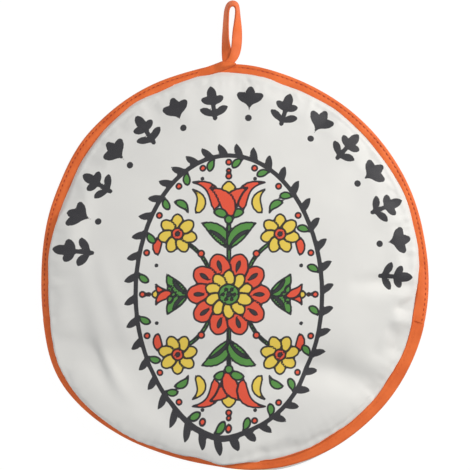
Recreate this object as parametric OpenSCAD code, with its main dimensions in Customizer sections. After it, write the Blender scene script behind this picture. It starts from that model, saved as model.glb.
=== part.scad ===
// Round cloth tortilla warmer: two padded panels, bound at the rim with tape. The upper
// rim is sewn shut and the lower rim is the mouth, whose front edge lifts as a flap.
// The pouch lies on its back panel: +Z points out of the front panel, +Y to the hanging
// loop, and the origin is on the back face at the middle of the round.

/* [Outline] */
// Radius of the round before its swells
base_r = 145.9; // [130:0.1:155]
// How far the rim stands out at the top
top_swell = 13; // [0:0.5:15]
// How far the rim stands out at the lower left
left_swell = 16; // [0:0.5:18]
// How far the rim stands out at the lower right
right_swell = 14; // [0:0.5:16]

/* [Panels] */
// Thickness of each outer cover
cover_t = 0.8; // [0.5:0.1:1]
// Thickness of the batting in each panel
batting_t = 2.8; // [2:0.1:4]
// Thickness of each inner lining
lining_t = 0.6; // [0.4:0.1:0.8]
// Rise of the front panel from its rim to its middle
crown_h = 8.5; // [6:0.5:14]

/* [Mouth] */
// Part of the rim that the mouth takes, as an angle at the middle
mouth_span = 156; // [120:6:168]
// Gap between the two edges at the middle of the mouth
mouth_gap = 6.5; // [6:0.5:12]

/* [Binding] */
// Width of the binding tape on each face
tape_w = 8; // [6:0.5:10]
// Length of the thread that shows in each stitch
stitch_l = 2.6; // [2:0.1:3]
// Distance from one stitch to the next
stitch_pitch = 4; // [3.5:0.5:6]

/* [Hanging loop] */
// Length of the loop past the rim
loop_l = 51; // [40:1:60]
// Width of the loop across both strands
loop_w = 14.8; // [13:0.1:18]
// Thickness of the loop
loop_t = 4; // [3:0.5:4]
// Distance of the loop to the left of the middle
loop_left = 4.2; // [0:0.1:8]

/* [Hidden] */

cloth_white = [0.93, 0.92, 0.90];
fill_white = [0.97, 0.97, 0.94];
lining_grey = [0.84, 0.85, 0.87];
tape_orange = [0.95, 0.42, 0.15];
thread_orange = [0.80, 0.30, 0.10];

// Angles run anticlockwise from +X, and the mouth is centred on the lowest point.
facet = 6;
mouth_mid = 270;
mouth_start = mouth_mid - mouth_span / 2;
mouth_end = mouth_mid + mouth_span / 2;

// The rim's section: two legs of tape hold the thin edges of cover and lining. The tape is
// a little thinner than the room that it takes, so that it bears on the cloth lightly.
leg_t = 0.8;
tape_t = 0.75;
web_t = 1.2;
nose = 1.6;
panel_edge_t = cover_t + lining_t;
bound_edge_t = panel_edge_t + 2 * leg_t;
seam_t = 2 * panel_edge_t + 2 * leg_t;

// Where the padding starts and where it is full, measured in from the rim
pad_start = 12;
pad_full = 22;
pad_edge_t = 0.6;
rim_rows = [web_t, tape_w, pad_start, pad_full];
inner_rows = 5;
last_row = len(rim_rows) - 1 + inner_rows;

panel_t = cover_t + batting_t + lining_t;
cavity_floor = panel_t + 0.8;
edge_gap = 0.4;

// The fold line that the front panel opens along, between the two ends of the mouth
fold_y = rim_r(mouth_start) * sin(mouth_start);
fold_clear = 0.4;
reach = 400;

stitch_w = 0.6;
stitch_h = 0.3;
seam_stitch_inset = 2.8;
mouth_stitch_inset = 6.4;

// Soft forms of the front panel, each along a line from [x, y] to [x, y]: how high it
// stands (a hollow is negative) and how wide it spreads
folds = [
    [[-110, -64], [-67, -99], -2.5, 13],
    [[-98, -42], [-50, -96], 1.6, 12],
    [[80, -68], [102, -84], -1.6, 20],
    [[104, -18], [124, -24], 1.2, 11],
    [[-125, 30], [-118, 70], -0.8, 12]
];

foot_start = 90.4;
foot_end = 96.2;
foot_t = 0.8;

// The loop's root line, just clear of the rim
loop_gap = 0.4;
loop_angle = 90 + loop_left / 2.8;
loop_root_y = rim_r(loop_angle) + loop_gap + loop_t / 2;
loop_root_z = seam_t / 2;

function turn_between(a, b) =
    let (turn = (a - b) % 360)
    turn > 180 ? turn - 360 : turn < -180 ? turn + 360 : turn;

function swell(a, towards, spread, amount) =
    amount * exp(-pow(turn_between(a, towards) / spread, 2));

function rim_r(a) =
    base_r
    + swell(a, 109, 64, top_swell)
    + swell(a, 215, 26, left_swell)
    + swell(a, 295, 53, right_swell);

function rim_point(a, inset) = (rim_r(a) - inset) * [cos(a), sin(a)];

function rim_heading(a) =
    let (step = rim_point(a + 1, 0) - rim_point(a - 1, 0))
    atan2(step.y, step.x);

function distance_to_line(p, from, to) =
    let (
        along = to - from,
        share = (p - from) * along / (along * along),
        nearest = from + max(0, min(1, share)) * along
    )
    norm(p - nearest);

function folds_z(p, k = 0) =
    k == len(folds) ? 0
    : folds[k][2] * exp(-pow(distance_to_line(p, folds[k][0], folds[k][1]) / folds[k][3], 2))
      + folds_z(p, k + 1);

// How far the front edge stands off the back edge at an angle of the mouth
function gap_at(a) =
    a <= mouth_start || a >= mouth_end ? 0
    : mouth_gap * pow(sin(180 * (a - mouth_start) / mouth_span), 2);

// Lower face of the front mouth binding
function mouth_edge_z(a) = bound_edge_t + max(edge_gap, gap_at(a));

// How far in from the rim a row of the front panel lies
function row_inset(a, k) =
    k < len(rim_rows) ? rim_rows[k]
    : rim_r(a) - (rim_r(a) - pad_full) * (last_row - k) / inner_rows;

// Lower face of the front lining: held by the tape at the rim, crowned inside it
function under_z(a, k, open) =
    let (
        inset = row_inset(a, k),
        from_pad = 1 - (inset - pad_start) / (rim_r(a) - pad_start),
        edge_share = pow(from_pad, 2)
    )
    inset <= tape_w
        ? (open ? mouth_edge_z(a) : leg_t + panel_edge_t) + leg_t * (open ? 1 : 0)
        : cavity_floor + gap_at(a) * edge_share + crown_h * (1 - edge_share)
          + folds_z(rim_point(a, inset));

function pad_z(k) =
    rim_rows[min(k, len(rim_rows) - 1)] < pad_start ? 0
    : k == 2 ? pad_edge_t
    : batting_t;

// ---- Builders ----

// Outline of the round, drawn in by inset
module round_outline(inset) {
    polygon([for (a = [0 : facet : 360 - facet]) rim_point(a, inset)]);
}

module flat_layer(inset, low, high) {
    translate([0, 0, low])
        linear_extrude(high - low)
            round_outline(inset);
}

module flat_band(outer_inset, inner_inset, low, high) {
    translate([0, 0, low])
        linear_extrude(high - low)
            difference() {
                round_outline(outer_inset);
                round_outline(inner_inset);
            }
}

// A layer of the front panel, from a first row to the middle, between two height functions
module crowned_layer(first_row, low, high) {
    stations = 360 / facet;
    rings = last_row - first_row;
    face_points = rings * stations + 1;
    function ring_points(height) = [
        for (k = [first_row : last_row - 1])
            for (i = [0 : stations - 1])
                let (a = i * facet, p = rim_point(a, row_inset(a, k)))
                [p.x, p.y, height(a, k)]
    ];
    function at(k, i) = k * stations + (i % stations);
    middle = face_points - 1;
    top_faces = [
        for (i = [0 : stations - 1])
            for (face = concat(
                [for (k = [0 : rings - 2]) [at(k, i), at(k + 1, i), at(k + 1, i + 1)]],
                [for (k = [0 : rings - 2]) [at(k, i), at(k + 1, i + 1), at(k, i + 1)]],
                [[at(rings - 1, i), middle, at(rings - 1, i + 1)]]
            ))
                face
    ];
    bottom_faces = [
        for (face = top_faces) [face[2] + face_points, face[1] + face_points, face[0] + face_points]
    ];
    rim_faces = [
        for (i = [0 : stations - 1])
            for (face = [
                [at(0, i), at(0, i + 1), at(0, i + 1) + face_points],
                [at(0, i), at(0, i + 1) + face_points, at(0, i) + face_points]
            ])
                face
    ];
    polyhedron(
        points = concat(
            ring_points(high), [[0, 0, high(0, last_row)]],
            ring_points(low), [[0, 0, low(0, last_row)]]
        ),
        faces = concat(top_faces, bottom_faces, rim_faces)
    );
}

// Tape folded over the rim all the way round: a U of the given height, which stands on a
// base height that may follow the angle
module folded_tape(height, base_z) {
    stations = 360 / facet;
    section = [
        [tape_w, 0], [nose, 0], [nose / 3, nose / 3], [0, height / 2],
        [nose / 3, height - nose / 3], [nose, height], [tape_w, height],
        [tape_w, height - tape_t], [web_t - 0.05, height - tape_t],
        [web_t - 0.05, tape_t], [tape_w, tape_t]
    ];
    corners = len(section);
    function at(i, j) = (i % stations) * corners + (j % corners);
    polyhedron(
        points = [
            for (i = [0 : stations - 1])
                for (corner = section)
                    let (a = i * facet, p = rim_point(a, corner[0]))
                    [p.x, p.y, base_z(a) + corner[1]]
        ],
        faces = [
            for (i = [0 : stations - 1])
                for (j = [0 : corners - 1])
                    for (face = [
                        [at(i, j), at(i, j + 1), at(i + 1, j + 1)],
                        [at(i, j), at(i + 1, j + 1), at(i + 1, j)]
                    ])
                        face
        ]
    );
}

module above_fold() {
    translate([-reach / 2, fold_y + fold_clear / 2, -1])
        cube([reach, reach, 60]);
}

module below_fold(clear) {
    translate([-reach / 2, fold_y - clear - reach, -1])
        cube([reach, reach, 60]);
}

// A row of stitches between two angles, at a depth in from the rim
module stitch_row(start, end, inset, top_z) {
    count = floor((end - start) * PI / 180 * base_r / stitch_pitch);
    for (i = [0 : count - 1]) {
        a = start + (end - start) * (i + 0.5) / count;
        clear_of_foot = a % 360 < foot_start - 1 || a % 360 > foot_end + 1;
        if (clear_of_foot) {
            p = rim_point(a, inset);
            translate([p.x, p.y, top_z(a)])
                rotate(rim_heading(a))
                    translate([-stitch_l / 2, -stitch_w / 2, 0])
                        cube([stitch_l, stitch_w, stitch_h]);
        }
    }
}

// ---- Back panel ----

module back_cover() {
    color(cloth_white) {
        flat_layer(tape_w + 0.2, 0, cover_t);
        flat_band(web_t, pad_start, leg_t, leg_t + cover_t);
    }
}

module back_batting() {
    color(fill_white)
        flat_layer(pad_start, cover_t, cover_t + batting_t);
}

module back_lining() {
    edge_low = leg_t + cover_t;
    turn_up = pad_start - 0.8;
    color(lining_grey) {
        flat_layer(turn_up, panel_t - lining_t, panel_t);
        flat_band(turn_up, pad_start, edge_low, panel_t);
        flat_band(web_t, pad_start, edge_low, edge_low + lining_t);
    }
}

module back_mouth_binding() {
    color(tape_orange)
        intersection() {
            folded_tape(bound_edge_t, function(a) 0);
            below_fold(-fold_clear / 2);
        }
}

module back_mouth_stitching() {
    color(thread_orange)
        stitch_row(mouth_start + 1, mouth_end - 1, mouth_stitch_inset, function(a) bound_edge_t);
}

// ---- Front panel, sewn part ----

module front_cover_layer(open) {
    crowned_layer(
        0,
        function(a, k) under_z(a, k, open) + lining_t + pad_z(k),
        function(a, k) under_z(a, k, open) + lining_t + pad_z(k) + cover_t
    );
}

module front_batting_layer(open) {
    crowned_layer(
        2,
        function(a, k) under_z(a, k, open) + lining_t,
        function(a, k) under_z(a, k, open) + lining_t + pad_z(k)
    );
}

module front_lining_layer(open) {
    crowned_layer(
        0,
        function(a, k) under_z(a, k, open),
        function(a, k) under_z(a, k, open) + lining_t
    );
}

module front_cover_upper() {
    color(cloth_white)
        intersection() {
            front_cover_layer(false);
            above_fold();
        }
}

module front_batting_upper() {
    color(fill_white)
        intersection() {
            front_batting_layer(false);
            above_fold();
        }
}

module front_lining_upper() {
    color(lining_grey)
        intersection() {
            front_lining_layer(false);
            above_fold();
        }
}

module edge_binding() {
    color(tape_orange)
        intersection() {
            folded_tape(seam_t, function(a) 0);
            above_fold();
        }
}

module edge_stitching() {
    color(thread_orange)
        stitch_row(mouth_end - 359, mouth_start - 1, seam_stitch_inset, function(a) seam_t);
}

// ---- Front panel, flap of the mouth ----

module front_cover_flap() {
    color(cloth_white)
        intersection() {
            front_cover_layer(true);
            below_fold(fold_clear / 2);
        }
}

module front_batting_flap() {
    color(fill_white)
        intersection() {
            front_batting_layer(true);
            below_fold(fold_clear / 2);
        }
}

module front_lining_flap() {
    color(lining_grey)
        intersection() {
            front_lining_layer(true);
            below_fold(fold_clear / 2);
        }
}

module front_mouth_binding() {
    color(tape_orange)
        intersection() {
            folded_tape(bound_edge_t, function(a) mouth_edge_z(a));
            below_fold(fold_clear / 2);
        }
}

module front_mouth_stitching() {
    color(thread_orange)
        stitch_row(
            mouth_start + 1, mouth_end - 1, mouth_stitch_inset,
            function(a) mouth_edge_z(a) + bound_edge_t + 0.05
        );
}

// ---- Hanging loop ----

// The tape's end, turned over on the binding where the loop leaves it
module loop_foot() {
    color(tape_orange)
        translate([0, 0, seam_t])
            linear_extrude(foot_t)
                polygon(concat(
                    [for (a = [foot_start, foot_end]) rim_point(a, nose)],
                    [for (a = [foot_end, foot_start]) rim_point(a, tape_w)]
                ));
}

// Two strands that run together from the root and open into an eye near the top
module loop_outline() {
    neck_w = loop_w - 1.8;
    top_r = loop_w * 0.39;
    top_y = loop_l - loop_root_y + rim_r(loop_angle) - top_r;
    difference() {
        hull() {
            translate([-neck_w / 2, 0])
                square([neck_w, 1]);
            translate([0, loop_l * 0.45])
                circle(r = loop_w / 2, $fn = 32);
            translate([1, top_y])
                circle(r = top_r, $fn = 32);
        }
        hull() {
            translate([1, top_y - 1])
                circle(r = 2.8, $fn = 32);
            translate([0, loop_l * 0.31])
                circle(r = 0.9, $fn = 32);
        }
    }
}

module hanging_loop() {
    color(tape_orange)
        translate([-loop_left, loop_root_y, loop_root_z]) {
            translate([0, 0, -loop_t / 2])
                linear_extrude(loop_t)
                    loop_outline();
            rotate([0, 90, 0])
                cylinder(h = loop_w - 1.8, r = loop_t / 2, center = true, $fn = 32);
        }
}

back_cover();
back_batting();
back_lining();
back_mouth_binding();
back_mouth_stitching();
front_cover_upper();
front_batting_upper();
front_lining_upper();
edge_binding();
edge_stitching();
loop_foot();
front_cover_flap();
front_batting_flap();
front_lining_flap();
front_mouth_binding();
front_mouth_stitching();
hanging_loop();
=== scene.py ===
# %% [markdown]
# # A round cloth tortilla warmer
# The real object is a flat pouch: two padded cloth panels, bound at the rim with orange tape.
# The upper rim is sewn shut. The lower rim is the mouth, whose front edge lifts as a flap.
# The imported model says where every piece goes. This lesson makes each piece of cloth, padding,
# tape and thread there, at its real size, and gives it its finish.

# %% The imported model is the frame
import math
import bpy
import numpy as np
from mathutils import Matrix, Vector


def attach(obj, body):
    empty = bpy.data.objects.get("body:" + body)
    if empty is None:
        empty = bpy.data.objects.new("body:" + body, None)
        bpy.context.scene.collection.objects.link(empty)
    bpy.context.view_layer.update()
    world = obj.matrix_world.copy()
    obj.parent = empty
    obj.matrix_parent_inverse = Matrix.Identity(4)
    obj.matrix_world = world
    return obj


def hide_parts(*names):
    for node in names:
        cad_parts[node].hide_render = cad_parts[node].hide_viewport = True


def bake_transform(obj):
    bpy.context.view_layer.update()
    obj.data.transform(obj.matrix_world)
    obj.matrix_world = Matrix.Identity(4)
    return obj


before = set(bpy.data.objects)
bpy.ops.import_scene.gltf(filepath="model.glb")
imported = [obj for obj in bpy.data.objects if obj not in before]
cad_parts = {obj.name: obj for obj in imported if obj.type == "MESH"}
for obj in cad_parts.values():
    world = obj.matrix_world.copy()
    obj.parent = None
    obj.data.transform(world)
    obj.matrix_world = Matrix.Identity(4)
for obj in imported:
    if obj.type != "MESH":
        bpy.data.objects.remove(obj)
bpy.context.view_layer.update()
MM = 0.001

# %% [markdown]
# ## Camera
# The photograph looks straight down at the pouch, so the camera hangs above it with +Y up in
# the picture. A long lens keeps the outline free of perspective. Its height follows from the
# lens and from how many millimetres one pixel of the photograph covers at the rim.

# %% Camera
IMAGE_SIDE = 470
MM_PER_PIXEL = 0.779
ORIGIN_PIXEL = (236.5, 268)
LENS = 100
SENSOR = 36
RIM_TOP = 4.4


def from_pixel(px, py):
    """A place in the photograph as millimetres in the model's frame, at the rim's height."""
    return np.array([(px - ORIGIN_PIXEL[0]) * MM_PER_PIXEL, (ORIGIN_PIXEL[1] - py) * MM_PER_PIXEL])


view_middle = from_pixel(IMAGE_SIDE / 2, IMAGE_SIDE / 2)
view_height = RIM_TOP + IMAGE_SIDE * MM_PER_PIXEL * LENS / SENSOR


def below_view(places, z):
    """Moves places seen at the rim's height so that they look the same from above at height z."""
    share = (view_height - np.asarray(z)) / (view_height - RIM_TOP)
    return view_middle + (places - view_middle) * share[..., None]


bpy.ops.object.select_all(action="DESELECT")
bpy.ops.object.camera_add(
    location=(view_middle[0] * MM, view_middle[1] * MM, view_height * MM), rotation=(0, 0, 0)
)
camera = bpy.context.object
camera.data.lens = LENS
camera.data.sensor_width = SENSOR
camera.data.clip_start = 0.05
bpy.context.scene.camera = camera
print(f"the camera hangs {view_height:.0f} mm above the floor")

# %% [markdown]
# ## Floor and light
# A product photo on pure white is taken on a light table: the floor glows faintly, so it stays
# white under the object's own shadow. A soft key light stands low at the upper right, so that
# the cloth's folds show as changes of tone, and two weaker lights keep the left side open. The
# Standard view keeps the dyed colours as they are set.

# %% Floor and light
FLOOR_DROP = 0.3


def area_light(name, place, size, power, colour):
    """A square light at a place in metres, aimed at the middle of the pouch."""
    bpy.ops.object.light_add(type="AREA", location=place)
    light = bpy.context.object
    light.name = name
    light.rotation_euler = (-Vector(place)).to_track_quat("-Z", "Y").to_euler()
    light.data.size = size
    light.data.energy = power
    light.data.color = colour
    return light


area_light("key_light", (0.84, 0.55, 0.68), 0.4, 10.8, (1, 0.985, 0.96))
area_light("fill_light", (-0.9, 0, 1.0), 1.2, 3.9, (0.96, 0.98, 1))
area_light("top_light", (0, -0.1, 1.5), 1.6, 4.7, (1, 1, 1))

bpy.ops.object.select_all(action="DESELECT")
bpy.ops.mesh.primitive_plane_add(size=6, location=(0, 0, -FLOOR_DROP * MM))
floor = bpy.context.object
floor.name = "floor"

world = bpy.data.worlds.new("studio")
world.use_nodes = True
world.node_tree.nodes["Background"].inputs["Color"].default_value = (1, 1, 1, 1)
world.node_tree.nodes["Background"].inputs["Strength"].default_value = 0.29
bpy.context.scene.world = world
bpy.context.scene.view_settings.view_transform = "Standard"
print("three soft lights, the key from the upper right")

# %% [markdown]
# ## The outline of the round
# Nothing on a soft pouch is a true circle. The rim is a circle with three swells, where the
# cloth is pushed out, and a trim of a millimetre or two for the uneven sewing. The trim was
# corrected with readings that a measuring script took from the photograph. Every piece below is
# laid out from it. Angles are in degrees, anticlockwise from +X, and lengths are in
# millimetres until a piece is placed.

# %% The outline of the round
BASE_R = 145.9
SWELLS = [(109, 64, 13), (215, 26, 16), (295, 53, 14)]
RIM_TRIM = [
    (0, 0), (8, -0.6), (24, 0), (42, -0.3), (57, -0.6), (66, -0.8), (75, -0.4), (81, 0.4),
    (87, 1.4), (94, 1.2), (99, -0.1), (105, -1.4), (123, -1.1), (132, -0.8), (140, 0.1),
    (147, -0.4), (154, -1), (165, 0), (177, 0), (183, -0.4), (190, -1), (198, -1.6), (207, -0.9),
    (213, -1), (221, -1.8), (231, -1.2), (239, -0.4), (249, -1), (257, -1.7), (263, -2.1),
    (268, -1.2), (273, 0.1), (283, 1.5), (291, 0.5), (300, -1), (306, -1.5), (312, -1.4),
    (320, -0.6), (330, 0), (339, 0.5), (350, 0.3), (360, 0),
]
SMOOTHING_TURNS = (-3, -1.5, 0, 1.5, 3)


def turn_between(a, b):
    """The turn from angle b to angle a, from -180 to 180."""
    return (np.asarray(a) - b + 180) % 360 - 180


def table_at(table, a):
    """The smoothed value of a table of (angle, value) at an angle."""
    angles, values = zip(*table)
    nearby = [
        np.interp((np.asarray(a) + turn) % 360, angles, values) for turn in SMOOTHING_TURNS
    ]
    return sum(nearby) / len(nearby)


def rim_r(a):
    """Radius of the rim at an angle."""
    r = BASE_R
    for towards, spread, amount in SWELLS:
        r = r + amount * np.exp(-((turn_between(a, towards) / spread) ** 2))
    return r + table_at(RIM_TRIM, a)


def on_rim(a, inset):
    """The place at an angle, a distance in from the rim."""
    turn = np.radians(a)
    r = rim_r(a) - inset
    return np.stack([r * np.cos(turn), r * np.sin(turn)], axis=-1)


def ease(x, start, end):
    """0 before start, 1 after end, and smooth between them."""
    t = np.clip((np.asarray(x) - start) / (end - start), 0, 1)
    return t * t * (3 - 2 * t)


def bump(x, middle, spread):
    """A smooth rise to 1 around middle."""
    return np.exp(-(((np.asarray(x) - middle) / spread) ** 2))


def run_along(places):
    """The length along a line of places, up to each of them."""
    return np.concatenate([[0], np.cumsum(np.hypot(*np.diff(places, axis=0).T))])


def soft_lift(z, least_z, softness):
    """How far a height z has to rise to clear least_z, with a soft start."""
    return softness * np.log1p(np.exp(np.clip((least_z - z) / softness, -30, 30)))


quarters = (0, 90, 180, 270)
print("rim radius at", quarters, "degrees:", [round(float(rim_r(a)), 1) for a in quarters])

# %% [markdown]
# ## The heights of the panels
# The sewn rim holds cover and lining thin between the two legs of the tape. Inside it the
# padding lifts the front panel into a low crown. At the mouth the front edge stands off the
# back edge. The folds are the creases that the padding takes when the pouch is handled: each
# lies along a line, and is so high and so wide. On the left and lower left the padding has
# slipped outwards and bunched at the tape, so the panel is full right up to it.

# %% The heights of the panels
COVER_T = 0.8
CLOTH_T = 0.4
BATTING_T = 2.8
LINING_T = 0.6
CROWN_H = 8.5
TAPE_W = 8
LEG_T = 0.8
PAD_START = 12
PAD_FULL = 27
PAD_EDGE_T = 0.6
PANEL_T = COVER_T + BATTING_T + LINING_T
CAVITY_FLOOR = PANEL_T + 0.8
MOUTH_START, MOUTH_END = 192, 348
MOUTH_GAP = 6.5
EDGE_GAP = 0.4
BOUND_EDGE_T = COVER_T + LINING_T + 2 * LEG_T
SEAM_T = 2 * (COVER_T + LINING_T) + 2 * LEG_T
FOLDS = [
    (
        [
            (75, 226), (81, 262), (92, 300), (105, 336),
            (120, 376), (142, 410), (175, 438), (214, 454),
        ],
        (1.2, 2.0, 2.2, 2.0, 1.4, 0.9, 0.6, 0), 9.5,
    ),
    (
        [(97, 330), (103, 351), (108, 361), (114, 371), (121, 383), (132, 397)],
        (0.4, 1.6, 1.9, 1.8, 1.2, 0.3), 4.5,
    ),
    ([(52, 344), (70, 347), (88, 352)], (-1.4, -2.0, -1.4), 9),
    ([(84, 350), (95, 358), (103, 371), (111, 387)], (0, -1.4, -1.2, -0.2), 4.8),
    ([(132, 352), (162, 386), (204, 414)], (-1.2, -2.2, -0.9), 20),
    ([(100, 246), (107, 276), (118, 302), (129, 336), (140, 360)], (0.3, 1.3, 1.5, 1.3, 0.3), 7),
    ([(133, 316), (146, 362), (168, 400)], -0.9, 9),
    ([(70, 352), (140, 360), (236, 362), (330, 362)], -3.0, 18),
    ([(356, 283), (384, 282), (406, 285)], (-1.2, -2.8, -1.6), 6),
    ([(372, 299), (396, 298)], 0.8, 8),
    ([(298, 366), (336, 372), (364, 381), (388, 400)], (-2.4, -4.6, -4.4, -0.9), 11),
    ([(306, 412), (334, 414)], 1.2, 16),
    ([(378, 352), (412, 343)], -1.6, 7),
    ([(398, 321), (420, 319)], 2.0, 6),
    ([(237, 82), (234, 138)], -1.4, 9),
    ([(266, 104), (262, 134)], 0.8, 10),
    ([(66, 200), (98, 190)], -0.7, 7),
    ([(78, 168), (110, 160)], -0.6, 7),
    ([(92, 138), (118, 140)], 0.6, 6),
    ([(60, 226), (88, 218)], 0.6, 7),
    ([(150, 104), (160, 128)], -0.7, 7),
    ([(182, 92), (188, 118)], 0.7, 7),
    ([(330, 108), (318, 132)], -0.8, 8),
    ([(376, 158), (356, 170)], -0.7, 8),
    ([(402, 214), (380, 218)], 0.7, 8),
]
BUNCHED_PAD = [
    (0, 2.6), (8, 2.2), (16, 0.8), (30, 0.4), (50, 0.8), (80, 1.0), (96, 1.2), (120, 1.6),
    (140, 2.0), (165, 2.8), (200, 3.0), (214, 3.2), (226, 3.6), (248, 3.6), (260, 3.0), (268, 1.8),
    (285, 0.8), (310, 0.8), (330, 0), (350, 0), (356, 2.2), (360, 2.6),
]
TAPE_INNER = [
    (0, 8.2), (4, 6.9), (8, 6.3), (12, 6.6), (28, 6.2), (32, 7.2), (40, 7.2), (44, 7.4), (48, 7.9),
    (52, 7.0), (60, 6.6), (64, 7.2), (68, 7.4), (72, 8.3), (76, 8.7), (80, 7.6), (84, 7.4),
    (88, 7.4), (92, 6.5), (100, 6.4), (104, 5.7), (108, 6.8), (112, 8.2), (116, 7.4), (120, 6.4),
    (128, 6.8), (132, 7.2), (136, 8.0), (140, 8.8), (152, 8.6), (160, 8.4), (180, 8.2), (260, 7.8),
    (272, 7.9), (276, 8.7), (280, 9.5), (284, 9.9), (288, 10.0), (296, 10.1), (300, 10.1),
    (304, 9.2), (312, 8.8), (316, 9.2), (320, 10.0), (324, 9.7), (328, 9.3), (336, 8.8),
    (340, 9.4), (344, 10.6), (348, 9.8), (352, 9.2), (356, 8.8), (360, 8.4),
]
LEAST_UNDER_Z = 4.45
LEAST_PAD = 0.45


def tape_inner(a):
    """How far in the edge of the upper tape lies; it is fed by hand, so it wavers.

    A measuring script read the table's values from the photograph, every four degrees.
    """
    return table_at(TAPE_INNER, a)


def gap_at(a):
    """How far the front edge of the mouth stands off the back edge."""
    share = np.clip((np.asarray(a) % 360 - MOUTH_START) / (MOUTH_END - MOUTH_START), 0, 1)
    return MOUTH_GAP * np.sin(np.pi * share) ** 2


def mouth_edge_z(a):
    """Lower face of the tape on the front edge of the mouth."""
    return BOUND_EDGE_T + np.maximum(EDGE_GAP, gap_at(a))


def mouth_share(a):
    """0 along the sewn rim and 1 along the mouth, with a smooth change at its two ends."""
    from_bottom = np.abs(turn_between(a, 270))
    return 1 - ease(from_bottom, 80, 92)


def fold_height(p, folds):
    """The height that the folds add at places p.

    Each fold is a line of pixels, a height (one, or one for each pixel) and a width.
    """
    height = np.zeros(len(p))
    for pixels, heights, width in folds:
        points = np.array([from_pixel(*pixel) for pixel in pixels])
        heights = np.broadcast_to(heights, len(points))
        off, here = np.full(len(p), 1e9), np.zeros(len(p))
        for k in range(len(points) - 1):
            along = points[k + 1] - points[k]
            share = np.clip((p - points[k]) @ along / (along @ along), 0, 1)
            aside = np.linalg.norm(p - points[k] - share[:, None] * along, axis=1)
            here = np.where(aside < off, heights[k] + (heights[k + 1] - heights[k]) * share, here)
            off = np.minimum(off, aside)
        height += here * np.exp(-((off / width) ** 2))
    return height


def free_under_z(a, inset, folds_at):
    """Where the lower face of the front lining would lie with nothing under it."""
    share = np.clip((rim_r(a) - inset) / (rim_r(a) - PAD_START), 0, 1) ** 2
    inner = CAVITY_FLOOR + gap_at(a) * share + CROWN_H * (1 - share)
    return inner + fold_height(on_rim(a, folds_at), FOLDS)


def panel_heights(a, inset, folds_at=None):
    """Lower face of the front lining, and the padding's thickness, at an angle and inset.

    folds_at is the inset that the folds are taken from, where the cloth has slid outwards.
    The back panel carries a fold that reaches it, and the padding is squeezed thinner there.
    """
    free = free_under_z(a, inset, inset if folds_at is None else folds_at)
    edge = 2 * LEG_T + LINING_T + (mouth_edge_z(a) + LEG_T - 2 * LEG_T - LINING_T) * mouth_share(a)
    tape_end = np.minimum(tape_inner(a), TAPE_W + 0.5)
    inside = ease(inset, tape_end - 0.6, tape_end + 2.6)
    under = edge + (np.maximum(free, LEAST_UNDER_Z) - edge) * inside
    thin = PAD_EDGE_T * inside
    full = thin + (BATTING_T - PAD_EDGE_T) * ease(inset, PAD_START, PAD_FULL)
    bunched = table_at(BUNCHED_PAD, a) * ease(inset, tape_end, tape_end + 3.6)
    full = full + bunched * (1 - ease(inset, 13, 38))
    full = np.maximum(full - np.maximum(LEAST_UNDER_Z - free, 0), LEAST_PAD)
    return under, thin + (full - thin) * inside


def cover_z(a, inset, folds_at=None):
    """Middle of the front cover's thickness."""
    under, pad = panel_heights(a, inset, folds_at)
    return under + LINING_T + pad + COVER_T / 2


middle_z = float(cover_z(np.array([90.0]), np.array([150.0]))[0])
print("the cover lies at", round(middle_z, 1), "mm near the middle")

# %% [markdown]
# ## Weave and tone
# Cloth needs two things that many of these materials share: fine threads that cross, and slow
# changes of tone, because no dyed cloth is one flat colour. Each is a node group, built once and
# placed in each material with its own values. The threads are two sine waves multiplied, which
# is cheap and never repeats a visible tile.

# %% Weave and tone
def screen_colour(r, g, b):
    """A colour as read off a screen, 0 to 255, as the linear colour that a shader takes."""
    linear = [
        (c / 255 / 12.92) if c < 11 else ((c / 255 + 0.055) / 1.055) ** 2.4 for c in (r, g, b)
    ]
    return (*linear, 1)


def new_group(name, inputs, outputs):
    """A shader node group with named sockets, and its inner nodes and links."""
    group = bpy.data.node_groups.new(name, "ShaderNodeTree")
    for label, kind, value in inputs:
        socket = group.interface.new_socket(label, in_out="INPUT", socket_type=kind)
        if value is not None:
            socket.default_value = value
    for label, kind in outputs:
        group.interface.new_socket(label, in_out="OUTPUT", socket_type=kind)
    return group, group.nodes.new("NodeGroupInput"), group.nodes.new("NodeGroupOutput")


def math_node(tree, operation, a, b=None, c=None):
    """A Math node; each value is a number or another node's output."""
    node = tree.nodes.new("ShaderNodeMath")
    node.operation = operation
    for socket, value in zip(node.inputs, (a, b, c)):
        if isinstance(value, (int, float)):
            socket.default_value = value
        elif value is not None:
            tree.links.new(value, socket)
    return node.outputs[0]


def mix_colours(tree, factor, under, over):
    """The mix of two colours; over is a colour or another node's output."""
    mix = tree.nodes.new("ShaderNodeMix")
    mix.data_type = "RGBA"
    tree.links.new(factor, mix.inputs["Factor"])
    tree.links.new(under, mix.inputs[6])
    if isinstance(over, bpy.types.NodeSocket):
        tree.links.new(over, mix.inputs[7])
    else:
        mix.inputs[7].default_value = over
    return mix.outputs[2]


def threads_group():
    """Crossing threads: Height for a bump, and Gap, which is 1 between the threads."""
    group, start, end = new_group(
        "crossing_threads",
        [("Vector", "NodeSocketVector", None), ("Pitch", "NodeSocketFloat", 0.0005)],
        [("Height", "NodeSocketFloat"), ("Gap", "NodeSocketFloat")],
    )
    split = group.nodes.new("ShaderNodeSeparateXYZ")
    group.links.new(start.outputs["Vector"], split.inputs[0])
    waves = []
    for axis in ("X", "Y"):
        turns = math_node(group, "DIVIDE", split.outputs[axis], start.outputs["Pitch"])
        waves.append(math_node(group, "SINE", math_node(group, "MULTIPLY", turns, math.pi)))
    crossed = math_node(group, "MULTIPLY", waves[0], waves[1])
    height = math_node(group, "MULTIPLY_ADD", crossed, 0.5, 0.5)
    group.links.new(height, end.inputs["Height"])
    gap = math_node(group, "SUBTRACT", 1.0, math_node(group, "ABSOLUTE", crossed))
    group.links.new(math_node(group, "POWER", gap, 6.0), end.inputs["Gap"])
    return group


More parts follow.
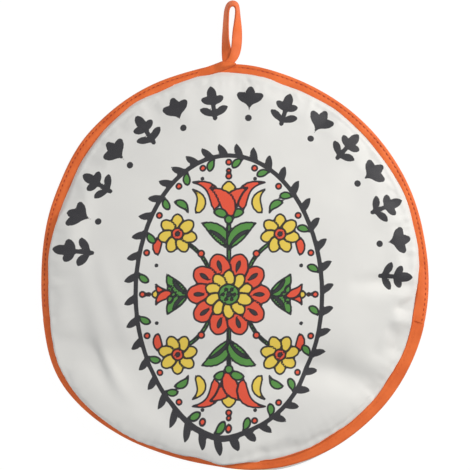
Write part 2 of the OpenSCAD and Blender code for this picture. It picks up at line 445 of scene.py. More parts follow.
def tone_group():
    """A slow drift between two colours, so many metres across."""
    group, start, end = new_group(
        "slow_tone",
        [
            ("Vector", "NodeSocketVector", None),
            ("Light", "NodeSocketColor", (1, 1, 1, 1)),
            ("Dark", "NodeSocketColor", (0.8, 0.8, 0.8, 1)),
            ("Patch", "NodeSocketFloat", 0.05),
        ],
        [("Color", "NodeSocketColor"), ("Height", "NodeSocketFloat")],
    )
    noise = group.nodes.new("ShaderNodeTexNoise")
    noise.inputs["Detail"].default_value = 3
    group.links.new(start.outputs["Vector"], noise.inputs["Vector"])
    group.links.new(math_node(group, "DIVIDE", 1.0, start.outputs["Patch"]), noise.inputs["Scale"])
    spread = math_node(group, "MULTIPLY_ADD", noise.outputs[0], 2.4, -0.7)
    mixed = mix_colours(group, spread, start.outputs["Dark"], start.outputs["Light"])
    group.links.new(mixed, end.inputs["Color"])
    group.links.new(noise.outputs[0], end.inputs["Height"])
    return group


crossing_threads = threads_group()
slow_tone = tone_group()
print("node groups:", [g.name for g in bpy.data.node_groups])

# %% [markdown]
# ## A material from the groups
# All five finishes are cloth, so they start alike: the piece's own flat map, the drift of tone as
# colour, and the threads as a bump. The flat map holds each point's place on the cloth as it
# was cut, in metres, so threads and print stay with the cloth when it bends. What makes one
# cloth satin and another fuzzy is set on the shader itself.

# %% A material from the groups
FLAT_MAP = "flat_cut"


def place_group(tree, group, values):
    """A copy of a group in a material, with its own values by socket name."""
    node = tree.nodes.new("ShaderNodeGroup")
    node.node_tree = group
    for name, value in values.items():
        if isinstance(value, bpy.types.NodeSocket):
            tree.links.new(value, node.inputs[name])
        else:
            node.inputs[name].default_value = value
    return node


def cloth_material(name, light, dark, patch, pitch, turn, depth, roughness, sheen):
    """Woven cloth. Returns the material, its tree, its shader, the colour and the gap mask."""
    material = bpy.data.materials.new(name)
    material.use_nodes = True
    tree = material.node_tree
    shader = tree.nodes["Principled BSDF"]
    shader.inputs["Roughness"].default_value = roughness
    shader.inputs["Sheen Weight"].default_value = sheen
    shader.inputs["Sheen Roughness"].default_value = 0.45
    shader.inputs["Specular IOR Level"].default_value = 0.35
    flat_map = tree.nodes.new("ShaderNodeUVMap")
    flat_map.uv_map = FLAT_MAP
    turned = tree.nodes.new("ShaderNodeMapping")
    turned.inputs["Rotation"].default_value = (0, 0, math.radians(turn))
    tree.links.new(flat_map.outputs[0], turned.inputs["Vector"])
    tone = place_group(
        tree, slow_tone,
        {"Vector": flat_map.outputs[0], "Light": light, "Dark": dark, "Patch": patch},
    )
    threads = place_group(tree, crossing_threads, {"Vector": turned.outputs[0], "Pitch": pitch})
    weave_bump = tree.nodes.new("ShaderNodeBump")
    weave_bump.inputs["Strength"].default_value = 0.5
    weave_bump.inputs["Distance"].default_value = depth
    tree.links.new(threads.outputs["Height"], weave_bump.inputs["Height"])
    tree.links.new(weave_bump.outputs[0], shader.inputs["Normal"])
    tree.links.new(tone.outputs["Color"], shader.inputs["Base Color"])
    return material, tree, shader, tone.outputs["Color"], threads.outputs["Gap"]


def darken(tree, colour, mask, amount, shade):
    """Draws a colour towards a shade where the mask is 1."""
    return mix_colours(tree, math_node(tree, "MULTIPLY", mask, amount), colour, shade)


lining_cloth, *_ = cloth_material(
    "lining_cloth", screen_colour(226, 227, 228), screen_colour(212, 214, 217),
    0.06, 0.0006, 0, 0.00008, 0.7, 0.15,
)
batting_fill, *_ = cloth_material(
    "batting_fill", screen_colour(240, 240, 235), screen_colour(222, 222, 214),
    0.004, 0.003, 20, 0.0006, 0.95, 0.6,
)
floor_material, _, floor_shader, *_ = cloth_material(
    "light_table", screen_colour(70, 70, 70), screen_colour(66, 66, 66),
    0.5, 0.002, 0, 0.00001, 0.9, 0,
)
floor_shader.inputs["Emission Color"].default_value = (1, 1, 1, 1)
floor_shader.inputs["Emission Strength"].default_value = 0.96
floor.data.materials.append(floor_material)
floor.data.uv_layers[0].name = FLAT_MAP
print("lining, batting and floor have their finish")

# %% [markdown]
# ## Tape and thread
# The binding is a satin bias tape: cut across the cloth's threads, so its weave runs at 45
# degrees, and slightly shiny. Painted shade darkens its colour in the row of needle holes, along
# the folded edges and between its threads. The thread of the closed rim is coloured a darker
# orange as painted shade, for the shadow it sinks into; that of the mouth matches its tape so
# well that its stitches hardly show. The plies of both show as slanting ridges, with painted shade
# between them.

# %% Tape and thread
TAPE_LIGHT = screen_colour(237, 116, 52)
TAPE_DARK = screen_colour(216, 97, 38)
# The next colour is painted shade, which darkens tape and thread where shade falls.
TAPE_SHADE = screen_colour(152, 52, 18)
# The closed rim's thread is coloured darker than its tape as painted shade, for the shadow it
# sinks into.
SHADED_THREAD_LIGHT = screen_colour(190, 60, 20)
SHADED_THREAD_DARK = screen_colour(160, 44, 14)


def tape_material():
    material, tree, shader, colour, gap = cloth_material(
        "binding_tape", TAPE_LIGHT, TAPE_DARK, 0.02, 0.0007, 45, 0.00012, 0.6, 0.08
    )
    # Painted shade: the tape darkens between its threads, and where the painted-shade attribute
    # marks the needle groove and the folded edges.
    shade_attribute = tree.nodes.new("ShaderNodeAttribute")
    shade_attribute.attribute_name = "painted_shade"
    colour = darken(tree, colour, gap, 0.12, TAPE_SHADE)
    colour = darken(tree, colour, shade_attribute.outputs["Fac"], 0.55, TAPE_SHADE)
    tree.links.new(colour, shader.inputs["Base Color"])
    return material


def thread_material(name, light, dark, shadow):
    material, tree, shader, colour, gap = cloth_material(
        name, light, dark, 0.003, 0.0004, 35, 0.00015, 0.5, 0.2
    )
    tree.links.new(darken(tree, colour, gap, shadow, TAPE_SHADE), shader.inputs["Base Color"])
    return material


binding_tape = tape_material()
shaded_sewing_thread = thread_material("shaded_sewing_thread", SHADED_THREAD_LIGHT, SHADED_THREAD_DARK, 0.3)
matched_thread = thread_material("matched_thread", TAPE_LIGHT, TAPE_DARK, 0.15)
print("tape and thread have their finish")

# %% [markdown]
# ## The printed cover cloth
# The front cover is a white polyester cloth with a printed pattern. An image of the print would
# be one way to make it. Here each ink is a field of distances on the cloth's own points: below
# zero the ink is there. The shader cuts each field at zero, so the print's edges are sharp at
# any size, and the print bends with the cloth. A dark outline follows wherever a colour's field
# is close to zero. The ink sits between the threads, so the weave shows through it as pale grain.

# %% The printed cover cloth
INKS = {
    "red": screen_colour(224, 72, 38),
    "yellow": screen_colour(226, 196, 68),
    "green": screen_colour(72, 138, 50),
    "line": screen_colour(27, 26, 34),
}
EDGE_BLEED = 0.12
OUTLINE_HALF = 0.7
GRAIN_SHOWS = 0.14


def ink_group():
    """One ink over what is under it, where its distance field is below zero."""
    group, start, end = new_group(
        "ink_layer",
        [
            ("Under", "NodeSocketColor", None),
            ("Ink", "NodeSocketColor", (0, 0, 0, 1)),
            ("Distance", "NodeSocketFloat", 1.0),
            ("Grain", "NodeSocketFloat", 0.0),
            ("Bleed", "NodeSocketFloat", 0.1),
        ],
        [("Color", "NodeSocketColor")],
    )
    reach = math_node(group, "DIVIDE", start.outputs["Distance"], start.outputs["Bleed"])
    cover = math_node(group, "MULTIPLY_ADD", reach, -0.5, 0.5)
    cover = math_node(group, "MINIMUM", math_node(group, "MAXIMUM", cover, 0.0), 1.0)
    grain = math_node(group, "MULTIPLY", start.outputs["Grain"], GRAIN_SHOWS)
    thin = math_node(group, "SUBTRACT", 1.0, grain)
    share = math_node(group, "MULTIPLY", cover, thin)
    inked = mix_colours(group, share, start.outputs["Under"], start.outputs["Ink"])
    group.links.new(inked, end.inputs["Color"])
    return group


ink_layer = ink_group()


def cover_material(name, printed):
    material, tree, shader, colour, gap = cloth_material(
        name, screen_colour(224, 223, 219), screen_colour(215, 214, 211),
        0.07, 0.0005, 0, 0.00006, 0.62, 0.2,
    )
    if printed:
        field = {ink: tree.nodes.new("ShaderNodeAttribute") for ink in INKS}
        for ink, node in field.items():
            node.attribute_name = "print_" + ink
        distance = {ink: node.outputs["Fac"] for ink, node in field.items()}
        edges = [math_node(tree, "ABSOLUTE", distance[ink]) for ink in ("red", "yellow", "green")]
        nearest = math_node(tree, "MINIMUM", edges[0], edges[1])
        nearest = math_node(tree, "MINIMUM", nearest, edges[2])
        outline = math_node(tree, "SUBTRACT", nearest, OUTLINE_HALF)
        distance["line"] = math_node(tree, "MINIMUM", distance["line"], outline)
        for ink, shade in INKS.items():
            values = {
                "Under": colour, "Ink": shade, "Distance": distance[ink],
                "Grain": gap, "Bleed": EDGE_BLEED,
            }
            colour = place_group(tree, ink_layer, values).outputs["Color"]
    tree.links.new(colour, shader.inputs["Base Color"])
    return material


printed_cloth = cover_material("printed_cover_cloth", True)
plain_cloth = cover_material("plain_cover_cloth", False)
print("inks:", list(INKS))

# %% [markdown]
# ## Flat cloth, then its place
# A real sheet is cut flat and then sewn, so each sheet here starts as a flat grid from the Add
# menu. Its vertices then move to where the cloth goes, and the flat map keeps where they were
# on the cut. A grid has even cells, which a cloth simulation needs; a fan of triangles round a
# middle point would crease there.

# %% Flat cloth, then its place
def drop_maps(piece):
    """Removes the maps that the Add menu gives a mesh."""
    while piece.data.uv_layers:
        piece.data.uv_layers.remove(piece.data.uv_layers[0])


def flat_grid(name, along, across):
    """A flat grid, and each vertex's share from 0 to 1 along and across it."""
    bpy.ops.object.select_all(action="DESELECT")
    bpy.ops.mesh.primitive_grid_add(x_subdivisions=along, y_subdivisions=across, size=1)
    piece = bpy.context.object
    piece.name = piece.data.name = name
    drop_maps(piece)
    return piece, places_of(piece)[:, :2] + 0.5


def places_of(piece):
    """The places of a mesh's vertices."""
    places = np.zeros(len(piece.data.vertices) * 3)
    piece.data.vertices.foreach_get("co", places)
    return places.reshape(-1, 3)


def set_places(piece, places):
    piece.data.vertices.foreach_set("co", np.asarray(places, float).ravel())
    piece.data.update()


def keep_flat_map(piece, flat):
    """Stores each vertex's place on the flat cut, in metres, as the piece's UV map."""
    corners = np.zeros(len(piece.data.loops), int)
    piece.data.loops.foreach_get("vertex_index", corners)
    layer = piece.data.uv_layers.new(name=FLAT_MAP)
    layer.uv.foreach_set("vector", np.asarray(flat, np.float32)[corners].ravel())


def keep_value(piece, name, values):
    """Stores a number for each vertex, which a material reads by its name."""
    layer = piece.data.attributes.new(name, "FLOAT", "POINT")
    layer.data.foreach_set("value", np.asarray(values).astype(np.float32))


def only_select(piece):
    bpy.ops.object.select_all(action="DESELECT")
    piece.select_set(True)
    bpy.context.view_layer.objects.active = piece


def apply_modifier(piece, kind, **settings):
    """Adds a modifier, sets it and applies it."""
    only_select(piece)
    modifier = piece.modifiers.new(kind.lower(), kind)
    for name, value in settings.items():
        setattr(modifier, name, value)
    bpy.ops.object.modifier_apply(modifier=modifier.name)


def face_up(piece, wanted):
    """Turns all faces over if the largest part of them doesn't face the wanted way."""
    normals = np.zeros(len(piece.data.polygons) * 3)
    piece.data.polygons.foreach_get("normal", normals)
    if normals.reshape(-1, 3)[:, 2].sum() * wanted < 0:
        only_select(piece)
        bpy.ops.object.mode_set(mode="EDIT")
        bpy.ops.mesh.select_all(action="SELECT")
        bpy.ops.mesh.flip_normals()
        bpy.ops.object.mode_set(mode="OBJECT")


def smooth(piece):
    only_select(piece)
    bpy.ops.object.shade_smooth()


def disc_layout(shares, inset):
    """Lays a square grid out over the round: angle, distance in from the rim, and place."""
    u, v = (2 * shares - 1).T
    x = u * np.sqrt(1 - v * v / 2)
    y = v * np.sqrt(1 - u * u / 2)
    angle = np.degrees(np.arctan2(y, x))
    from_rim = rim_r(angle) - np.hypot(x, y) * (rim_r(angle) - inset)
    return angle, from_rim, on_rim(angle, from_rim)


print("sheets start as flat grids")

# %% [markdown]
# ## Where the cloth rolls over the tape
# On the left and lower left the padded cloth rolls out over the tape, so from above only a thin
# line of tape is left, and at one place almost none. On the real pouch that is a soft roll, not
# a different tape. A table says how much of the tape shows at each angle, as read off the
# photograph, and the cloth near the rim is pushed out and up to leave just that.

# %% Where the cloth rolls over the tape
TAPE_SHOWS = [
    (0, 12), (156, 12), (160, 8.4), (164, 7.8), (168, 6.8), (172, 5.5), (176, 4.4), (180, 5.2),
    (188, 5.2), (196, 5.0), (200, 4.5), (204, 4.0), (208, 3.7), (214, 4.1), (220, 2.6), (228, 2.3),
    (232, 1.6), (240, 0.7), (248, 1.3), (256, 1.3), (258, 1.6), (259.5, 3.6), (261, 3.6),
    (263, -0.6), (266, -0.2), (268, 1.9), (272, 5.0), (275, 7.6), (277, 9.0), (279, 10.4),
    (283, 13), (360, 13),
]
ROLL_AT, ROLL_END = 12.8, 42
OVERHANG = 0.8
ROLL_SOFTNESS = 0.7


def tape_shows(a):
    """How much of the tape's width shows from above at an angle."""
    return table_at(TAPE_SHOWS, a)


def tape_top(a):
    """Height of the upper tape's top face."""
    share = mouth_share(a)
    return SEAM_T * (1 - share) + (mouth_edge_z(a) + BOUND_EDGE_T) * share


def seen_inset(a, inset, z):
    """How far in a place at height z lies that looks, from above, to be at this inset."""
    return rim_r(a) - np.linalg.norm(below_view(on_rim(a, inset), z), axis=-1)


def roll_share(a):
    """1 where the cloth rolls over the tape, and 0 where it doesn't."""
    return ease(tape_inner(a) - tape_shows(a), -0.4, 1.0)


def lifted_over(a, inset, z):
    """The height z, raised smoothly to clear the tape where the cloth rolls over it."""
    least_z = tape_top(a) + 0.5 + 2.6 * ease(inset, TAPE_W, ROLL_AT + 1)
    present = roll_share(a) * ease(inset, TAPE_W - 0.4, TAPE_W + 1.0)
    return z + present * soft_lift(z, least_z, ROLL_SOFTNESS)


all_round = np.arange(0, 361, 0.5)
roll_z = lifted_over(all_round, ROLL_AT, cover_z(all_round, ROLL_AT))
seen_at = seen_inset(all_round, tape_shows(all_round), roll_z)
furthest_out = (ROLL_AT - OVERHANG - seen_at) * roll_share(all_round)


def rolled_out(a, inset):
    """How far outwards the cloth lies where it rolls over the tape."""
    here = ease(inset, TAPE_W + 0.2, ROLL_AT) * (1 - ease(inset, ROLL_AT + 1, ROLL_END))
    return np.interp(np.asarray(a) % 360, all_round, furthest_out) * here


samples = (180, 225, 257)
print("tape shown at", samples, "degrees:", [round(float(tape_shows(a)), 1) for a in samples])

# %% [markdown]
# ## Front cover: the settled sheet
# The cover and its padding are one soft panel that is held only by the tape at its rim. A cloth
# simulation finds the small wrinkles that no formula gives: the sheet starts on the crowned
# form with its folds, its rim is pinned, it is cut a little too large, and a light pressure from
# the padding pushes it up. A cap on how far a point may move keeps it on its padding.

# %% Front cover: the settled sheet
COVER_CELLS = 108
COVER_INSET = 1.4
SETTLE_FRAMES = 18
EASE_IN_CLOTH = 0.012
PADDING_PUSH = 3.0
MOST_DOWN, MOST_UP, MOST_ASIDE = 0.5, 1.0, 1.0
LAID_OUT = "laid_out"


def placed(places, z):
    """Places in millimetres with their heights, as metres."""
    return np.column_stack([places, z]) * MM


def settle(piece, free):
    """Runs the cloth on a piece; free is 0 where the tape holds it and 1 inside."""
    start = places_of(piece)
    held = piece.vertex_groups.new(name="held_by_tape")
    for step in range(11):
        chosen = np.flatnonzero(np.round(free * 10) == step)
        held.add(chosen.tolist(), max(1 - step / 10, 0.004), "REPLACE")
    cloth = piece.modifiers.new("settle", "CLOTH")
    cloth.settings.vertex_group_mass = held.name
    cloth.settings.quality = 6
    cloth.settings.mass = 0.15
    cloth.settings.tension_stiffness = 20
    cloth.settings.compression_stiffness = 20
    cloth.settings.shear_stiffness = 8
    cloth.settings.bending_stiffness = 2.0
    cloth.settings.shrink_min = -EASE_IN_CLOTH
    cloth.settings.use_pressure = True
    cloth.settings.uniform_pressure_force = PADDING_PUSH
    cloth.settings.effector_weights.gravity = 0
    cloth.point_cache.frame_end = SETTLE_FRAMES
    for frame_number in range(1, SETTLE_FRAMES + 1):
        bpy.context.scene.frame_set(frame_number)
    only_select(piece)
    bpy.ops.object.modifier_apply(modifier="settle")
    bpy.context.scene.frame_set(1)
    moved = (places_of(piece) - start) / MM
    most, mean = np.abs(moved).max(0).round(2), moved.mean(0).round(2)
    print("settled, moved in mm at most", most, "mean", mean)
    moved[:, :2] = np.clip(moved[:, :2], -MOST_ASIDE, MOST_ASIDE)
    moved[:, 2] = np.clip(moved[:, 2], -MOST_DOWN, MOST_UP)
    set_places(piece, start + moved * free[:, None] * MM)


def keep_layout(piece, flat):
    """Stores each vertex's flat place in millimetres, which a subdivision carries on."""
    layer = piece.data.attributes.new(LAID_OUT, "FLOAT_VECTOR", "POINT")
    layer.data.foreach_set("vector", np.column_stack([flat, np.zeros(len(flat))]).ravel())


def layout_of(piece):
    """Each vertex's angle, distance in from the rim, and flat place."""
    flat = np.zeros(len(piece.data.vertices) * 3)
    piece.data.attributes[LAID_OUT].data.foreach_get("vector", flat)
    flat = flat.reshape(-1, 3)[:, :2]
    angle = np.degrees(np.arctan2(flat[:, 1], flat[:, 0]))
    return angle, rim_r(angle) - np.hypot(flat[:, 0], flat[:, 1]), flat


front_cover, shares = flat_grid("front_cover", COVER_CELLS, COVER_CELLS)
angle, inset, flat = disc_layout(shares, COVER_INSET)
set_places(front_cover, placed(flat, cover_z(angle, inset, inset - rolled_out(angle, inset))))
keep_layout(front_cover, flat)
face_up(front_cover, 1)
settle(front_cover, ease(inset, TAPE_W, PAD_START + 4))
apply_modifier(front_cover, "SUBSURF", levels=1, render_levels=1)
print("front cover:", len(front_cover.data.polygons), "faces")

# %% [markdown]
# ## Front cover: over the tape, and puckers
# The settled sheet now gets its roll over the tape. Short puckers start at the tape where the
# sewing has gathered the cloth, and fine ripples run in from it.

# %% Front cover: over the tape, and puckers
PUCKERS = [
    ([(246, 76), (251, 90)], -1.1, 2.2),
    ([(239, 80), (241, 92)], -0.4, 2.6),
    ([(256, 86), (259, 98)], -0.5, 3.0),
    ([(284, 91), (280, 104)], -0.4, 3.0),
    ([(421, 302), (400, 307)], -2.2, 4.8),
    ([(404, 258), (403, 272)], -0.9, 4.0),
]
LEAST_ROOM = 0.45
PUCKER_SOFTNESS = 0.25


def gathers(a, inset):
    """Fine ripples that run in from the tape and fade."""
    turn = np.radians(a)
    waves = np.sin(83 * turn) * np.sin(11 * turn + 1)
    waves = waves + 0.7 * np.sin(131 * turn + 2) * np.sin(7 * turn)
    strong = 0.28 - 0.12 * bump(turn_between(a, 150), 0, 50)
    ripples = strong * waves * np.exp(-np.abs(inset - TAPE_W - 2) / 8)
    return ripples * ease(inset, TAPE_W, TAPE_W + 2)


def kept_above_lining(a, inset, z):
    """The height z, raised smoothly where a pucker would press the cover into the lining."""
    under, _ = panel_heights(a, inset)
    least_z = under + LINING_T + COVER_T / 2 + LEAST_ROOM * ease(inset, TAPE_W + 0.5, TAPE_W + 3)
    return z + soft_lift(z, least_z, PUCKER_SOFTNESS)


angle, inset, flat = layout_of(front_cover)
places = places_of(front_cover) / MM
turn = np.radians(angle)
places[:, 0] += rolled_out(angle, inset) * np.cos(turn)
places[:, 1] += rolled_out(angle, inset) * np.sin(turn)
places[:, 2] = lifted_over(angle, inset, places[:, 2])
places[:, 2] += gathers(angle, inset)
places[:, 2] += fold_height(flat, PUCKERS) * ease(inset, TAPE_W + 0.5, TAPE_W + 3)
places[:, 2] = kept_above_lining(angle, inset, places[:, 2])
set_places(front_cover, places * MM)
keep_flat_map(front_cover, flat * MM)
smooth(front_cover)
print("front cover: from", (places.min(0)).round(1), "to", places.max(0).round(1), "mm")

# %% [markdown]
# ## The print: brush strokes as distances
# The pattern is traditional folk flower work: an upright wreath with a large rosette, tulips,
# daisies and leaves, and a border of dark leaf sprigs round the top. It could be drawn as curves
# and projected. Here every motif is one brush stroke, a line of points with a width at each,
# and its distance field is worked out on the cloth. A later stroke covers an earlier one.

# %% The print: brush strokes as distances
PRINT_REACH = 4.0
SAME_INK_GAP = 0.4
fields = {ink: np.full(len(flat), PRINT_REACH) for ink in INKS}


def stroke_distance(p, points, halves):
    """Distance from places p to a stroke; below zero inside it."""
    best = np.full(len(p), 1e9)
    for start, end, r0, r1 in zip(points[:-1], points[1:], halves[:-1], halves[1:]):
        along = end - start
        share = np.clip((p - start) @ along / max(along @ along, 1e-9), 0, 1)
        off = np.linalg.norm(p - start - share[:, None] * along, axis=1)
        best = np.minimum(best, off - (r0 + (r1 - r0) * share))
    return best


def paint(ink, points, halves):
    """Paints one stroke over what is there.

    Strokes of one ink keep a narrow gap for the outline.
    """
    points, halves = np.asarray(points, float), np.asarray(halves, float)
    margin = halves.max() + PRINT_REACH
    low, high = points.min(0) - margin, points.max(0) + margin
    near = np.flatnonzero(((flat > low) & (flat < high)).all(1))
    distance = stroke_distance(flat[near], points, halves)
    for name, field in fields.items():
        gap = SAME_INK_GAP if name == ink and ink != "line" else 0
        if name != ink or ink != "line":
            field[near] = np.maximum(field[near], gap - distance)
        if name == ink:
            field[near] = np.minimum(field[near], distance)


def ahead(start, angle, length):
    """The place so far from start in a direction in degrees."""
    turn = math.radians(angle)
    return np.asarray(start, float) + length * np.array([math.cos(turn), math.sin(turn)])


def bowed(start, end, bow, steps=8):
    """Points on a curve from start to end that bows to its left."""
    start, end = np.asarray(start, float), np.asarray(end, float)
    share = np.linspace(0, 1, steps + 1)[:, None]
    aside = np.array([start[1] - end[1], end[0] - start[0]])
    return start + (end - start) * share + aside * bow * 4 * share * (1 - share)


def petal(ink, start, angle, length, half, bow=0.0, fullest=0.6):
    """A petal, leaf or drop, fullest at a share of its length."""
    points = bowed(start, ahead(start, angle, length), bow)
    share = np.linspace(0, 1, len(points))
    paint(ink, points, half * np.sin(np.pi * share ** (math.log(0.5) / math.log(fullest))) + 0.15)


def even_line(ink, start, end, half, bow=0.0):
    points = bowed(start, end, bow)
    paint(ink, points, np.full(len(points), half))


def dot(ink, place, radius):
    paint(ink, [place, place], [radius, radius])


def leaf(start, angle, length, half, bow=0.1):
    """A green leaf with a dark rib."""
    petal("green", start, angle, length, half, bow, fullest=0.45)
    petal("line", start, angle, length * 0.72, 0.95, bow * 0.8)


print("strokes are ready on", len(flat), "points")

# %% [markdown]
# ## The print: flowers
# Each flower is a function that repeats one petal by turning it, which is how block printers
# and embroiderers build such motifs too. They are placed from one named middle, so the whole
# wreath can be moved on the cloth.

# %% The print: flowers
PRINT_MIDDLE = np.array([-6.0, -20.0])


def at_print(x, y):
    """A place on the cloth, from the middle of the wreath."""
    return PRINT_MIDDLE + (x, y)


def rosette(middle, size):
    """The large flower: red petals, yellow petals inside, and a dotted heart."""
    for k in range(10):
        petal("red", ahead(middle, 36 * k, size * 0.2), 36 * k, size * 0.8, size * 0.25)
    for k in range(10):
        petal("line", ahead(middle, 36 * k, size * 0.6), 36 * k, size * 0.26, 1.1)
    for k in range(10):
        towards = 36 * k + 18
        petal("yellow", ahead(middle, towards, size * 0.1), towards, size * 0.48, size * 0.14)
    dot("green", middle, size * 0.25)
    for k in range(6):
        dot("yellow", ahead(middle, 60 * k, size * 0.14), size * 0.03)
    dot("line", middle, size * 0.05)


def daisy(middle, size, turn):
    """A small flower: seven yellow petals round a red heart."""
    for k in range(7):
        petal("yellow", middle, turn + 360 / 7 * k, size, size * 0.3)
    dot("red", middle, size * 0.3)
    dot("line", middle, size * 0.1)


def tulip(base, angle, size):
    """A tulip: two outer petals, a yellow middle one, and a green cup."""
    petal("yellow", ahead(base, angle, size * 0.16), angle, size * 0.8, size * 0.2)
    for side in (-1, 1):
        petal(
            "red", base, angle + side * 30, size * 0.92, size * 0.18, bow=-side * 0.2, fullest=0.4
        )
        petal("green", base, angle + side * 64, size * 0.42, size * 0.1, bow=-side * 0.15)
    dot("green", base, size * 0.1)
    for k in range(2):
        dot("red", ahead(base, angle, size * (1.1 + 0.14 * k)), size * (0.07 - 0.015 * k))


for side in (-1, 1):
    even_line("green", at_print(0, side * 20), at_print(0, side * 58), 1.2)
    even_line("green", at_print(side * 20, 0), at_print(side * 42, 0), 1.2)
    for up in (-1, 1):
        hand, upright = side * up, 90 * up
        sideways = up * 44 if side > 0 else 180 - up * 44
        even_line(
            "green", at_print(side * 14, up * 16), at_print(side * 38, up * 42), 1.1, hand * 0.12
        )
        leaf(at_print(0, up * 35), upright - hand * 47, 28, 5.4, hand * 0.12)
        leaf(at_print(side * 31, 0), sideways, 22, 4.6, -hand * 0.12)
        petal("red", at_print(side * 11, up * 64), upright - hand * 38, 27, 4.0, hand * 0.3, 0.35)
        petal(
            "yellow", at_print(side * 25, up * 62), upright - hand * 8, 18, 3.2, hand * 0.3, 0.35
        )
        petal("green", at_print(side * 31, up * 62), upright - hand * 52, 13, 2.6, hand * 0.2)
        petal("red", at_print(side * 54, up * 30), upright + hand * 22, 17, 3.0, -hand * 0.2, 0.4)
        daisy(at_print(side * 39, up * 46), 14.5, upright)
        dot("red", at_print(side * 21, up * 31), 2.4)
        dot("line", at_print(side * 55, up * 22), 1.6)
        dot("line", at_print(side * 20, up * 88), 1.6)
    tulip(at_print(side * 42, 0), 90 - 90 * side, 17)
    tulip(at_print(0, side * 57), 90 * side, 30)
rosette(PRINT_MIDDLE, 31)
print("flowers painted")

# %% [markdown]
# ## The print: wreath and border
# The wreath is a bold upright oval with leaves outside it, and leaves and berries inside. The
# border follows the rim round the top with bold dark sprigs. A traditional border needs only two
# motifs in turn, so two short functions and one loop make it.

# %% The print: wreath and border
WREATH_W, WREATH_H = 71, 106
WREATH_LEAVES = 40
BORDER_TOP_R, BORDER_SIDE_R = 117, 112
BORDER_FROM, BORDER_TO = 174, -3
BORDER_MOTIFS = 15


def on_wreath(turn):
    """A place on the oval and the direction straight out of it, at a turn in degrees."""
    t = math.radians(turn)
    outward = math.degrees(math.atan2(math.sin(t) / WREATH_H, math.cos(t) / WREATH_W))
    return at_print(WREATH_W * math.cos(t), WREATH_H * math.sin(t)), outward


for k in range(WREATH_LEAVES):
    place, outward = on_wreath(360 / WREATH_LEAVES * k)
    petal("line", place, outward + 40, 12, 2.6, bow=0.12, fullest=0.5)
    if k % 2:
        petal("green", ahead(place, outward + 180, 1.5), outward + 145, 10, 2.4, bow=-0.1)
    else:
        dot("red", ahead(place, outward + 180, 5.2), 2.1)
oval = np.array([on_wreath(turn)[0] for turn in range(0, 361, 5)])
paint("line", oval, np.full(len(oval), 1.7))


def border_r(turn):
    """The border keeps its distance from the rim, which lies closer in at the sides."""
    return BORDER_SIDE_R + (BORDER_TOP_R - BORDER_SIDE_R) * math.sin(math.radians(turn))


def border_sprig(turn):
    """An upright stem with two pairs of leaves and a bud."""
    base = ahead((0, 0), turn, border_r(turn) - 1)
    even_line("line", base, ahead(base, turn, 18), 1.7)
    for side in (-1, 1):
        for at, length in ((0.2, 13.5), (10.0, 10.5)):
            petal("line", ahead(base, turn, at), turn + side * 54, length, 2.8, bow=-side * 0.1)
    petal("line", ahead(base, turn, 15), turn, 11, 3.6, fullest=0.4)


def border_comma(turn):
    """Three bold drops that spread from the foot, with a dot under them."""
    base = ahead((0, 0), turn, border_r(turn) + 4)
    for side in (-1, 0, 1):
        length = 20 - 3 * abs(side)
        petal("line", base, turn + side * 36, length, 3.6, bow=-side * 0.16, fullest=0.7)
    dot("line", ahead((0, 0), turn, border_r(turn) - 1.5), 2.6)


for k in range(BORDER_MOTIFS):
    turn = BORDER_FROM + (BORDER_TO - BORDER_FROM) * k / (BORDER_MOTIFS - 1)
    (border_comma if k % 2 else border_sprig)(turn)

for ink, field in fields.items():
    keep_value(front_cover, "print_" + ink, np.clip(field, -PRINT_REACH, PRINT_REACH))
apply_modifier(front_cover, "SOLIDIFY", thickness=CLOTH_T * MM, offset=0)
front_cover.data.materials.append(printed_cloth)
inked = {ink: round(float((field < 0).mean()), 3) for ink, field in fields.items()}
print("inked share of the cloth:", inked)

# %% [markdown]
# ## Linings and back cover
# The other sheets lie flatter. Each is held thin in the tape at its rim and spreads out inside
# it: the front lining under the front padding, the back lining over the back padding, and the
# back cover flat on the table. One function places them all; only their heights differ.

# %% Linings and back cover
SHEET_CELLS = 90
BACK_EDGE_Z = LEG_T + COVER_T / 2
REST_Z = 0.25


def fine_wrinkles(flat):
    """Low uneven wrinkles, from -1 to 1, the same on every run."""
    x, y = flat.T
    crossed = 0.5 * np.sin(x / 9 + 1.3 * np.sin(y / 17)) * np.sin(y / 13 + 2)
    return crossed + 0.5 * np.sin(x / 23 - y / 15)


def back_cover_z(a, inset, flat):
    inner = REST_Z + 0.12 * (1 + fine_wrinkles(flat))
    return BACK_EDGE_Z + (inner - BACK_EDGE_Z) * ease(inset, TAPE_W, PAD_START)


def back_lining_z(a, inset, flat):
    edge = LEG_T + COVER_T + LINING_T / 2
    inner = PANEL_T - LINING_T / 2 + 0.2 * fine_wrinkles(flat)
    return edge + (inner - edge) * ease(inset, TAPE_W, PAD_START)


def front_lining_z(a, inset, flat):
    under, _ = panel_heights(a, inset)
    return under + LINING_T / 2 + 0.2 * fine_wrinkles(flat) * ease(inset, TAPE_W, PAD_START)


def round_sheet(name, height, facing, material):
    """A round sheet at a height that follows angle, distance from the rim and place."""
    piece, shares = flat_grid(name, SHEET_CELLS, SHEET_CELLS)
    angle, inset, flat = disc_layout(shares, COVER_INSET)
    set_places(piece, placed(flat, height(angle, inset, flat)))
    keep_flat_map(piece, flat * MM)
    face_up(piece, facing)
    apply_modifier(piece, "SOLIDIFY", thickness=CLOTH_T * MM, offset=0)
    smooth(piece)
    piece.data.materials.append(material)
    return piece


back_cover = round_sheet("back_cover_cloth", back_cover_z, -1, plain_cloth)
back_lining = round_sheet("back_lining_cloth", back_lining_z, 1, lining_cloth)
front_lining = round_sheet("front_lining_cloth", front_lining_z, -1, lining_cloth)
print("three sheets of", len(back_cover.data.polygons), "faces each")

# %% [markdown]
# ## Padding
# The batting is a soft slab that thins towards the tape. It starts as a grid too, is given a
# thickness, and its upper and lower faces then move to their heights. A subdivision rounds its
# edge. The front slab ends just under the cover, also where the cover dips in a pucker.

# %% Padding
PADDING_CELLS = 72
PADDING_INSET = 10.5
PADDING_FLAT = PADDING_INSET + 4
BACK_LOW_Z = 0.7
ROOM = 0.4


